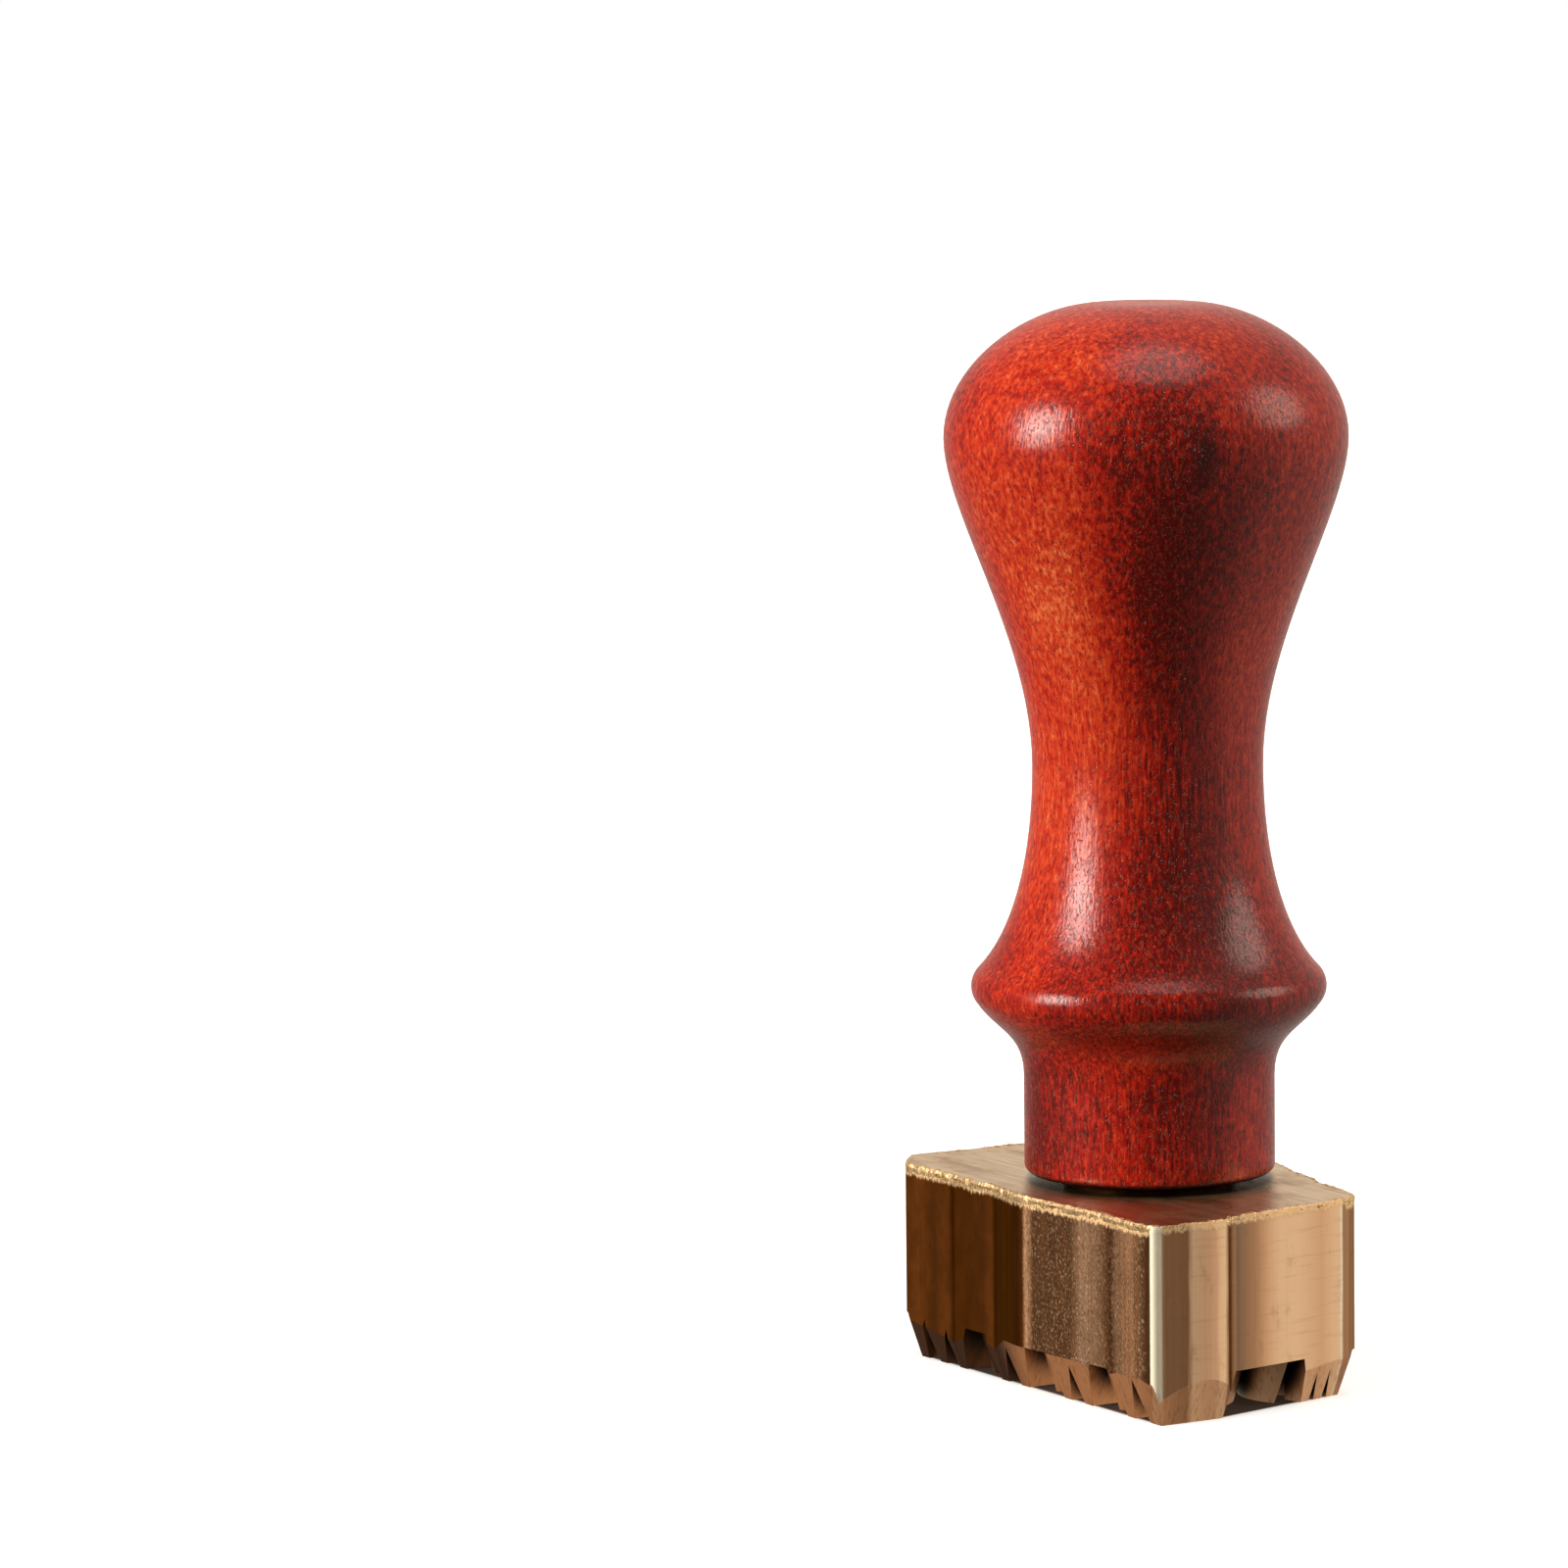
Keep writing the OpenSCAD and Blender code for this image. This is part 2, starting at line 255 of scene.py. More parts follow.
class Shader(Graph):
    """Builds one material on object coordinates in millimetres."""

    def __init__(self, finish: Finish) -> None:
        """Starts a material with its output and its shader.

        Args:
            finish: Names the material.
        """
        self.material = bpy.data.materials.new(finish.value)
        super().__init__(self.material)
        self.surface = self.node("ShaderNodeBsdfPrincipled")
        output = self.node("ShaderNodeOutputMaterial")
        self.feed(output.inputs["Surface"], self.surface.outputs["BSDF"])
        place = self.node("ShaderNodeTexCoord").outputs["Object"]
        self.place = self.vector("SCALE", place, 1 / MM)

    def axes(self) -> tuple[Socket, ...]:
        """Splits the surface point.

        Returns:
            Its X, Y and Z, in millimetres.
        """
        split = self.node("ShaderNodeSeparateXYZ")
        self.feed(split.inputs[0], self.place)
        return tuple(split.outputs)

    def noise(
        self, size: Point3, detail: float = 2, rough: float = 0.55, offset: Point3 = (0, 0, 0)
    ) -> Socket:
        """Noise whose grains have a size along each axis.

        Args:
            size: Grain size along X, Y and Z, in millimetres.
            detail: Octaves of finer noise.
            rough: Share of the finer octaves.
            offset: Shift of the pattern, in millimetres.

        Returns:
            The noise, about 0.5 on average.
        """
        moved = self.vector("ADD", self.place, offset)
        scaled = self.vector("MULTIPLY", moved, tuple(1 / s for s in size))
        made = self.node("ShaderNodeTexNoise", noise_dimensions="3D")
        self.feed(made.inputs["Vector"], scaled)
        made.inputs["Scale"].default_value = 1
        made.inputs["Detail"].default_value = detail
        made.inputs["Roughness"].default_value = rough
        return made.outputs["Fac"]

    def near(self, spot: Spot) -> Socket:
        """A spot's share in its middle, falling to 0 at its edge.

        Args:
            spot: The spot.

        Returns:
            The share.
        """
        moved = self.vector("SUBTRACT", self.place, spot.centre)
        away = self.vector("LENGTH", self.vector("DIVIDE", moved, spot.reach))
        return self.rise(away, 0, 1, spot.share, 0)

    def bump(self, height: Socket, depth: float, edge: Feed = 0.0) -> None:
        """Raises the surface's normal by a height field.

        Args:
            height: Height, from 0 to 1.
            depth: Real height of 1, in millimetres.
            edge: Radius to which sharp edges look rounded, in millimetres.
        """
        made = self.node("ShaderNodeBump")
        made.inputs["Strength"].default_value = 1
        made.inputs["Distance"].default_value = depth * MM
        self.feed(made.inputs["Height"], height)
        if edge:
            round_edge = self.node("ShaderNodeBevel", samples=6)
            self.feed(round_edge.inputs["Radius"], self.times(edge, MM))
            self.feed(made.inputs["Normal"], round_edge.outputs["Normal"])
        for name in ("Normal", "Coat Normal"):
            self.feed(self.surface.inputs[name], made.outputs["Normal"])

    def finish(self, **sockets: Feed) -> Material:
        """Sets the shader's sockets.

        Args:
            **sockets: Values or outputs by socket name, with underscores for spaces.

        Returns:
            The finished material.
        """
        for name, value in sockets.items():
            self.feed(self.surface.inputs[name.replace("_", " ")], value)
        return self.material


@dataclass(frozen=True)
class Hardwood:
    """Red stain under a satin varnish on a fine-pored hardwood, grain along the handle."""

    pale: Colour = linear(242, 136, 80)
    light: Colour = linear(206, 60, 24)
    ground: Colour = linear(172, 25, 9)
    dark: Colour = linear(98, 7, 4)
    fleck: Colour = linear(236, 150, 100)
    # Dark of the pores, the knot and the streaks, also used for the painted shade along the foot's
    # rim.
    pore_and_shade: Colour = linear(52, 12, 10)
    rough: float = 0.6
    gloss: float = 0.02
    contrast: float = 0.76
    figured: float = 0.3
    pored: float = 0.44
    grain_depth: float = 0.026
    varnish: float = 0.6
    varnish_rough: float = 0.2
    # Heights over which the foot's rim turns almost black: painted shade under the handle's rim.
    foot: Point2 = (18.5, 18.15)
    knot: Spot = Spot((16.8, -5.0, 81.7), (2.1, 2.1, 4.6), 0.88)
    streaks: Spot = Spot((9.4, -3.6, 53.5), (6, 6, 21), 0.8)
    # Soft spots that shift the tone: painted light on the lit left of the head and belly, on the
    # neck's right and in the cove under the bead; painted shade down the middle of the head and
    # belly and on the neck's left under the bead.
    painted_light_and_shade: tuple[Spot, ...] = (
        Spot((4.0, -12.5, 68.0), (11, 10, 42), 0.12),
        Spot((14.3, -8.0, 77.0), (11, 11, 27), -0.13),
        Spot((11.0, -3.2, 50.0), (11, 10, 38), -0.11),
        Spot((0.2, -11.2, 23.0), (8, 8, 11), -0.1),
        Spot((10.3, 4.2, 22.0), (7, 7, 9), 0.12),
        Spot((10.0, -6.0, 29.5), (8, 8, 4), 0.13),
    )

    def material(self) -> Material:
        """Finely speckled red wood with dark pores, a knot, and dark streaks at the waist, with
        painted light and painted shade in soft spots and painted shade along the foot's rim.

        Returns:
            The material.
        """
        s = Shader(Finish.HARDWOOD)
        z = s.axes()[2]
        figure = s.noise((9, 9, 24))
        speckle = s.noise((0.5, 0.5, 0.8), offset=(40, 0, 0))
        fibre = s.noise((0.24, 0.24, 2.4), rough=0.6, offset=(0, 60, 0))
        pores = s.rise(s.noise((0.22, 0.22, 0.42), detail=1, offset=(9, 9, 0)), 0.59, 0.66)
        lines = s.rise(s.noise((0.4, 0.4, 15), offset=(3, 0, 70)), 0.48, 0.62)
        flecks = s.rise(s.noise((0.22, 0.22, 0.5), offset=(0, 0, 9)), 0.5, 0.72, 0, 0.12)
        fibrous = s.rise(z, 78, 60, 0.32, 0.58)
        grain = s.plus(speckle, s.times(fibrous, s.minus(fibre, speckle)))
        tone = s.plus(s.times(grain, self.contrast), 0.5 - 0.5 * self.contrast)
        tone = s.plus(tone, s.times(s.minus(figure, 0.5), self.figured))
        # Painted light and painted shade in soft spots.
        for cloud in self.painted_light_and_shade:
            tone = s.plus(tone, s.near(cloud))
        tone = s.minus(tone, s.rise(z, 52, 28, 0, 0.08))
        stops = ((0.35, self.dark), (0.48, self.ground), (0.6, self.light), (0.8, self.pale))
        colour = s.mix(flecks, s.ramp(tone, stops), self.fleck)
        marks = (
            s.times(lines, s.near(self.streaks)),
            s.near(self.knot),
            s.times(pores, self.pored),
            # Painted shade along the foot's rim.
            s.rise(z, *self.foot, 0, 0.88),
        )
        for share in marks:
            colour = s.mix(share, colour, self.pore_and_shade)
        s.bump(s.minus(s.plus(speckle, fibre), pores), self.grain_depth)
        return s.finish(
            Base_Color=colour,
            Roughness=self.rough,
            Specular_IOR_Level=self.gloss,
            Coat_Weight=self.varnish,
            Coat_Roughness=self.varnish_rough,
        )


@dataclass(frozen=True)
class BoredWood:
    """Bare wood inside the drilled bore, darkened by glue."""

    light: Colour = linear(176, 112, 74)
    dark: Colour = linear(104, 56, 38)
    rough: float = 0.8
    ring_depth: float = 0.05

    def material(self) -> Material:
        """Dull wood with drill rings.

        Returns:
            The material.
        """
        s = Shader(Finish.BORE_WOOD)
        rings = s.noise((9, 9, 0.25), detail=1)
        s.bump(rings, self.ring_depth)
        colour = s.mix(s.rise(rings, 0.35, 0.65), self.dark, self.light)
        return s.finish(Base_Color=colour, Roughness=self.rough)


class Tone(Enum):
    """Tones of the brass, from tarnish and dark painted reflection to fresh cuts and painted
    highlights.
    """

    SEAM = linear(84, 44, 22)
    SHADOW = linear(96, 56, 34)
    DULL = linear(101, 71, 49)
    GRIT = linear(136, 101, 74)
    PALE_GRIT = linear(164, 128, 100)
    TARNISH = linear(130, 74, 36)
    AMBER = linear(156, 90, 42)
    BRONZE = linear(182, 136, 100)
    SHADE = linear(154, 112, 81)
    TAN = linear(225, 177, 138)
    GOLD = linear(242, 201, 160)
    CREAM = linear(255, 245, 218)


class Bands:
    """Tones of the die by the bearing from its middle, in degrees: tarnish and dark painted
    reflection on the left, bright painted reflection and painted highlight lines on the right.
    """

    # Bearings and tones of the front and right walls: the brass's own marks and tarnish, with
    # painted reflection that is dark on the left and bright on the right, and painted highlight
    # lines at edges and ridges.
    FRONT: tuple[tuple[float, Tone], ...] = (
        (-152, Tone.BRONZE), (-146, Tone.TARNISH), (-140, Tone.AMBER), (-136, Tone.TARNISH),
        (-131, Tone.AMBER), (-129.3, Tone.SEAM), (-128.2, Tone.TARNISH), (-112, Tone.TARNISH),
        (-107.6, Tone.AMBER), (-106.2, Tone.SEAM), (-103.5, Tone.SHADOW), (-86, Tone.SHADOW),
        (-83.5, Tone.TARNISH), (-81.8, Tone.TAN), (-80, Tone.BRONZE), (-77, Tone.DULL),
        (-58, Tone.DULL), (-54, Tone.PALE_GRIT), (-49, Tone.PALE_GRIT), (-45.5, Tone.GRIT),
        (-43, Tone.SHADOW), (-41.4, Tone.PALE_GRIT), (-37.8, Tone.BRONZE), (-36, Tone.GRIT),
        (-34.8, Tone.DULL), (-33, Tone.GRIT),
    )
    RIGHT: tuple[tuple[float, Tone], ...] = (
        (-33, Tone.GOLD), (-30.5, Tone.BRONZE), (-26, Tone.SHADE), (-24.8, Tone.GOLD),
        (-21.5, Tone.TAN), (-19.4, Tone.TAN), (-18.6, Tone.GOLD), (-17.2, Tone.GOLD),
        (-16.4, Tone.GRIT), (-12.6, Tone.PALE_GRIT), (-8, Tone.BRONZE), (-4, Tone.TAN),
        (-0.5, Tone.GOLD), (6, Tone.GOLD), (14, Tone.TAN), (19.2, Tone.GOLD), (20.4, Tone.GOLD),
        (21, Tone.CREAM), (21.6, Tone.BRONZE), (24, Tone.PALE_GRIT), (27, Tone.BRONZE),
    )
    BACK: tuple[tuple[float, Tone], ...] = (
        (0.34, Tone.AMBER),
        (0.47, Tone.BRONZE),
        (0.6, Tone.TAN),
    )

    def __init__(self, s: Shader) -> None:
        """Lays the bands over a material.

        Args:
            s: The material.
        """
        self.shader = s
        x, y, _ = s.axes()
        bearing = s.times(s.math("ARCTAN2", y, x), 180 / math.pi)
        wander = s.times(s.minus(s.noise((0.5, 0.5, 5)), 0.5), 1.1)
        self.bearing = s.plus(bearing, wander)
        broad = s.noise((2.4, 2.4, 60), detail=1, offset=(50, 0, 0))
        back = s.ramp(broad, [(place, tone.value) for place, tone in self.BACK])
        on_right = s.math("GREATER_THAN", self.bearing, self.RIGHT[0][0])
        side = s.mix(on_right, self.wall(self.FRONT), self.wall(self.RIGHT))
        behind = s.math("MAXIMUM", self.past(27, 29), self.past(-150, -152))
        self.colour = s.mix(behind, side, back)

    def wall(self, tones: Sequence[tuple[float, Tone]]) -> Socket:
        """Colours of one wall's bands.

        Args:
            tones: Bearings and tones, in order.

        Returns:
            The colour.
        """
        s = self.shader
        low, span = tones[0][0], tones[-1][0] - tones[0][0]
        share = s.math("DIVIDE", s.minus(self.bearing, low), span)
        return s.ramp(share, [((angle - low) / span, tone.value) for angle, tone in tones])

    def past(self, begin: float, end: float) -> Socket:
        """Share from 0 to 1 between two bearings."""
        return self.shader.rise(self.bearing, begin, end)

    def within(self, first: Point2, last: Point2) -> Socket:
        """Share that is 1 between two edges, each the bearings where it is 0 and where it is 1."""
        return self.shader.times(self.past(*first), self.past(*last))


@dataclass(frozen=True)
class FlutedWall:
    """Upright walls of the die, in bands of milling marks, tarnish and painted reflection, with
    painted highlight lines.
    """

    # Where the painted highlight runs down the near corner, and how far that line stops being
    # metal.
    near_corner: Spot = Spot((21.35, -13.55, 8.6), (1.0, 1.0, 90))
    corner_round: float = 0.5
    highlight_nonmetal: float = 0.92
    edge_round: float = 0.07
    rim: Colour = linear(246, 214, 166)
    rim_z: float = 16.3
    rim_thin: float = 0.35
    mark_depth: float = 0.03
    tint: Colour = (0.75, 0.55, 0.35)

    def material(self) -> Material:
        """Brass whose colour follows the bearing round the die, painted reflection included, with a
        rough upper rim and a painted highlight down the near corner.

        Returns:
            The material.
        """
        s = Shader(Finish.FLUTED_WALL)
        bands = Bands(s)
        streak = s.noise((0.35, 0.35, 30), offset=(5, 5, 0))
        cross = s.noise((5, 5, 0.3), offset=(0, 5, 5))
        grain = s.noise((0.2, 0.2, 0.3), detail=2.5, rough=0.65)
        blotch = s.noise((1.6, 1.6, 2.6), detail=4, rough=0.65, offset=(0, 80, 0))
        panel = bands.within((-34, -33), (23, 22))
        coarse = bands.within((-85, -82), (-34, -35))
        layers = (
            (s.times(s.rise(streak, 0.46, 0.7, 0, 0.4), s.minus(1, panel)), Tone.TARNISH),
            (s.times(s.rise(cross, 0.52, 0.7, 0, 0.2), panel), Tone.BRONZE),
            (s.times(s.rise(grain, 0.52, 0.72, 0, 0.5), coarse), Tone.GOLD),
            (s.times(s.rise(grain, 0.5, 0.3, 0, 0.5), coarse), Tone.SEAM),
            (s.rise(blotch, 0.42, 0.22, 0, 0.3), Tone.TARNISH),
        )
        colour = bands.colour
        for share, tone in layers:
            colour = s.mix(share, colour, tone.value)
        ragged = s.times(s.noise((0.32, 0.32, 6), offset=(0, 0, 30)), 0.9)
        torn = s.minus(s.plus(s.axes()[2], ragged), s.times(panel, self.rim_thin))
        lip = s.rise(torn, self.rim_z + 0.32, self.rim_z + 0.62)
        colour = s.mix(s.times(lip, s.rise(grain, 0.4, 0.55, 0.35, 0.95)), colour, self.rim)
        # Painted highlight: a cream, mostly non-metallic line down the near corner.
        corner_highlight = s.rise(s.near(self.near_corner), 0.3, 0.6)
        colour = s.mix(corner_highlight, colour, Tone.CREAM.value)
        rough = s.plus(s.times(coarse, 0.16), s.rise(blotch, 0.3, 0.7, 0.27, 0.36))
        rough = s.plus(rough, s.plus(s.times(lip, 0.24), s.times(corner_highlight, 0.06)))
        rugged = s.plus(s.math("MAXIMUM", coarse, lip), 0.12)
        ripple = s.plus(s.times(streak, 0.4), s.times(grain, rugged))
        edge = s.plus(s.times(corner_highlight, self.corner_round), self.edge_round)
        s.bump(ripple, self.mark_depth, edge)
        return s.finish(
            Base_Color=colour,
            Metallic=s.minus(1, s.times(corner_highlight, self.highlight_nonmetal)),
            Roughness=rough,
            Specular_Tint=(*self.tint, 1),
        )


@dataclass(frozen=True)
class ReliefFlank:
    """Slanted flanks of the relief: copper-brown cuts with a painted highlight in the middle, and
    painted shade deep in the gaps and towards the left.
    """

    copper: Colour = linear(244, 172, 118)
    # Dark of the painted shade in the gaps and on the left flanks.
    deep: Colour = linear(30, 18, 12)
    reach: float = 2.6
    rough: float = 0.48
    mark_depth: float = 0.02
    edge_round: float = 0.05

    def material(self) -> Material:
        """Tapered cuts in the tones of the wall above, darker where little light comes in.

        Returns:
            The material.
        """
        s = Shader(Finish.RELIEF_FLANK)
        bands = Bands(s)
        marks = s.noise((0.3, 0.3, 4))
        # Copper: partly the cut's own colour everywhere, partly a painted highlight between the
        # left third and the corner.
        warm = bands.within((-104, -84), (-28, -36))
        colour = s.mix(s.plus(s.times(warm, 0.7), 0.2), bands.colour, self.copper)
        colour = s.mix(s.rise(marks, 0.5, 0.7, 0, 0.35), colour, Tone.TARNISH.value)
        # Painted shade: darker towards the left, as on the walls above.
        colour = s.mix(s.times(bands.past(-96, -106), 0.72), colour, self.deep)
        # Painted shade where the flank is hemmed in by the relief.
        hollow = s.node("ShaderNodeAmbientOcclusion", samples=8, only_local=True)
        hollow.inputs["Distance"].default_value = self.reach * MM
        colour = s.mix(s.rise(hollow.outputs["AO"], 0.4, 0.88), self.deep, colour)
        s.bump(marks, self.mark_depth, self.edge_round)
        return s.finish(Base_Color=colour, Metallic=1.0, Roughness=self.rough)


@dataclass(frozen=True)
class MilledTop:
    """Face-milled top of the die, brushed along its long side."""

    light: Colour = linear(232, 202, 162)
    dark: Colour = linear(196, 158, 112)
    spot: Colour = linear(150, 106, 64)
    seat_shadow: Colour = linear(66, 42, 26)
    seat_r: float = 10.8
    seat_fade: float = 0.35
    scratch_depth: float = 0.03
    edge_round: float = 0.09

    def material(self) -> Material:
        """Pale brushed brass with long fine scratches, with a painted shadow where the handle sits.

        Returns:
            The material.
        """
        s = Shader(Finish.MILLED_TOP)
        brush = s.noise((9, 0.12, 1), detail=3, rough=0.65)
        haze = s.noise((5, 3, 1), detail=3, offset=(20, 0, 0))
        colour = s.mix(s.rise(brush, 0.38, 0.62), self.dark, self.light)
        colour = s.mix(s.rise(haze, 0.5, 0.72, 0, 0.6), colour, self.spot)
        # Painted shadow on the top under the handle's foot.
        radius = s.vector("LENGTH", s.vector("MULTIPLY", s.place, (1, 1, 0)))
        edge = (self.seat_r + self.seat_fade, self.seat_r - self.seat_fade)
        colour = s.mix(s.rise(radius, *edge, 0, 0.8), colour, self.seat_shadow)
        s.bump(brush, self.scratch_depth, self.edge_round)
        rough = s.rise(haze, 0.3, 0.7, 0.27, 0.37)
        return s.finish(Base_Color=colour, Metallic=1.0, Roughness=rough)


@dataclass(frozen=True)
class CutBrass:
    """Brass cut by a flat mill: the relief's face and the floor of its recess."""

    finish: Finish
    light: Colour
    dark: Colour
    rough: float
    mark_size: Point3
    mark_depth: float
    edge_round: float = 0.05

    def material(self) -> Material:
        """Warm brass with tool marks.

        Returns:
            The material.
        """
        s = Shader(self.finish)
        marks = s.noise(self.mark_size)
        cloud = s.noise((2.2, 2.2, 1.4), detail=3, offset=(0, 33, 0))
        colour = s.mix(s.rise(cloud, 0.3, 0.66, 0.25, 0.9), self.dark, self.light)
        colour = s.mix(s.rise(marks, 0.5, 0.7, 0, 0.35), colour, self.dark)
        s.bump(marks, self.mark_depth, self.edge_round)
        return s.finish(Base_Color=colour, Metallic=1.0, Roughness=self.rough)


@dataclass(frozen=True)
class BurrBrass:
    """Bright torn lip that the cutter left round the top edge."""

    light: Colour = linear(250, 222, 174)
    dark: Colour = linear(176, 134, 86)
    rough: float = 0.56
    tear_depth: float = 0.05

    def material(self) -> Material:
        """Glittering ragged brass.

        Returns:
            The material.
        """
        s = Shader(Finish.BURR)
        torn = s.noise((0.22, 0.22, 0.4), detail=3, rough=0.7)
        s.bump(torn, self.tear_depth)
        colour = s.mix(s.rise(torn, 0.38, 0.62), self.dark, self.light)
        return s.finish(Base_Color=colour, Metallic=1.0, Roughness=self.rough)


@dataclass(frozen=True)
class TurnedMetal:
    """Metal turned on a lathe or rolled to a thread, with rings round its axis."""

    finish: Finish
    light: Colour
    dark: Colour
    rough: float
    rough_spread: float = 0.12
    ring_depth: float = 0.01
    edge_round: float = 0.05

    def material(self) -> Material:
        """Metal with fine rings.

        Returns:
            The material.
        """
        s = Shader(self.finish)
        rings = s.noise((6, 6, 0.08))
        cloud = s.noise((2, 2, 2), detail=3, offset=(0, 0, 12))
        colour = s.mix(s.rise(cloud, 0.35, 0.65), self.dark, self.light)
        s.bump(rings, self.ring_depth, self.edge_round)
        rough = s.rise(cloud, 0.3, 0.7, self.rough, self.rough + self.rough_spread)
        return s.finish(Base_Color=colour, Metallic=1.0, Roughness=rough)


STEEL = TurnedMetal(Finish.PLATED_STEEL, linear(196, 198, 202), linear(140, 142, 148), 0.26)
# Brass painted dark for the insert and the die's hole: painted shade in the gap under the handle
# and inside the hole.
SHADED_BRASS = TurnedMetal(Finish.TURNED_BRASS, linear(132, 98, 58), linear(84, 58, 32), 0.4)
FACE_BRASS = CutBrass(
    Finish.RELIEF_FACE, linear(222, 182, 122), linear(170, 124, 74), 0.26, (3.0, 0.2, 1.0), 0.02
)
# Very dark brass for the recess floor: painted shade in the recess.
FLOOR_BRASS = CutBrass(
    Finish.RECESS, linear(96, 62, 38), linear(44, 27, 15), 0.45, (0.5, 0.5, 1.0), 0.04
)


def select_only(piece: Piece) -> None:
    """Makes a piece the only selected one, and the active one.

    Args:
        piece: The piece.
    """
    bpy.ops.object.select_all(action="DESELECT")
    piece.select_set(True)
    bpy.context.view_layer.objects.active = piece


def named(name: str) -> Piece:
    """Names the active object and its mesh.

    Args:
        name: Name of the piece.

    Returns:
        The object.
    """
    piece = bpy.context.active_object
    piece.name = piece.data.name = name
    return piece


def outline_mesh(name: str, points: Sequence[Point2]) -> Piece:
    """Draws a turned outline in the XZ plane, one extruded step at a time.

    Args:
        name: Name of the piece.
        points: Radius and height of each point, in millimetres.

    Returns:
        The object, in edit mode with all selected.
    """
    bpy.ops.object.select_all(action="DESELECT")
    bpy.ops.mesh.primitive_plane_add(size=MM, location=(0, 0, 0))
    piece = named(name)
    bpy.ops.object.mode_set(mode="EDIT")
    bpy.ops.mesh.select_mode(type="VERT")
    bpy.ops.mesh.select_all(action="SELECT")
    bpy.ops.mesh.merge(type="CENTER")
    bpy.ops.transform.translate(value=(points[0][0] * MM, 0, points[0][1] * MM))
    for (r0, z0), (r1, z1) in zip(points, points[1:]):
        step = ((r1 - r0) * MM, 0, (z1 - z0) * MM)
        bpy.ops.mesh.extrude_vertices_move(TRANSFORM_OT_translate={"value": step})
    bpy.ops.mesh.select_all(action="SELECT")
    return piece


def close_mesh() -> None:
    """Merges doubles in the mesh being edited, turns its faces outwards and leaves edit mode."""
    bpy.ops.mesh.select_all(action="SELECT")
    bpy.ops.mesh.remove_doubles(threshold=WELD)
    bpy.ops.mesh.normals_make_consistent(inside=False)
    bpy.ops.object.mode_set(mode="OBJECT")


def turn_on_lathe(name: str, points: Sequence[Point2], steps: int, crease: float) -> Piece:
    """Turns an outline round the handle's axis to a closed solid.

    Args:
        name: Name of the piece.
        points: Radius and height of each point, in millimetres.
        steps: Number of faces round the axis.
        crease: Angle above which an edge stays sharp, in degrees.

    Returns:
        The turned object.
    """
    piece = outline_mesh(name, points)
    bpy.ops.mesh.spin(steps=steps, angle=2 * math.pi, center=(0, 0, 0), axis=(0, 0, 1))
    close_mesh()
    bpy.ops.object.shade_smooth_by_angle(angle=math.radians(crease))
    return piece


def dress(piece: Piece, *materials: Material) -> None:
    """Gives a piece its materials.

    Args:
        piece: The piece.
        *materials: Materials in slot order.
    """
    piece.data.materials.clear()
    for material in materials:
        piece.data.materials.append(material)


def settle(piece: Piece, body: str) -> None:
    """Makes a piece ride on a body and reports it.

    Args:
        piece: Finished piece.
        body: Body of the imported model.
    """
    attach(piece, body)
    LOG.info("%s rides on %s with %d faces", piece.name, body, len(piece.data.polygons))


def bezier(ends: tuple[Vector, Vector], leads: tuple[Vector, Vector], count: int) -> list[Point2]:
    """Points of a cubic curve, without its first point.

    Args:
        ends: First and last point.
        leads: Points that the ends head for.
        count: Number of points.

    Returns:
        The points.
    """
    points = []
    for index in range(1, count + 1):
        t = index / count
        u = 1 - t
        point = u**3 * ends[0] + 3 * u * u * t * leads[0]
        point = point + 3 * u * t * t * leads[1] + t**3 * ends[1]
        points.append((point.x, point.y))
    return points


def arc(centre: Vector, radius: float, start: float, end: float, count: int) -> list[Point2]:
    """Points of an arc, in degrees from start to end, both ends included."""
    turns = [math.radians(start + (end - start) * i / count) for i in range(count + 1)]
    return [(centre.x + radius * math.cos(a), centre.y + radius * math.sin(a)) for a in turns]


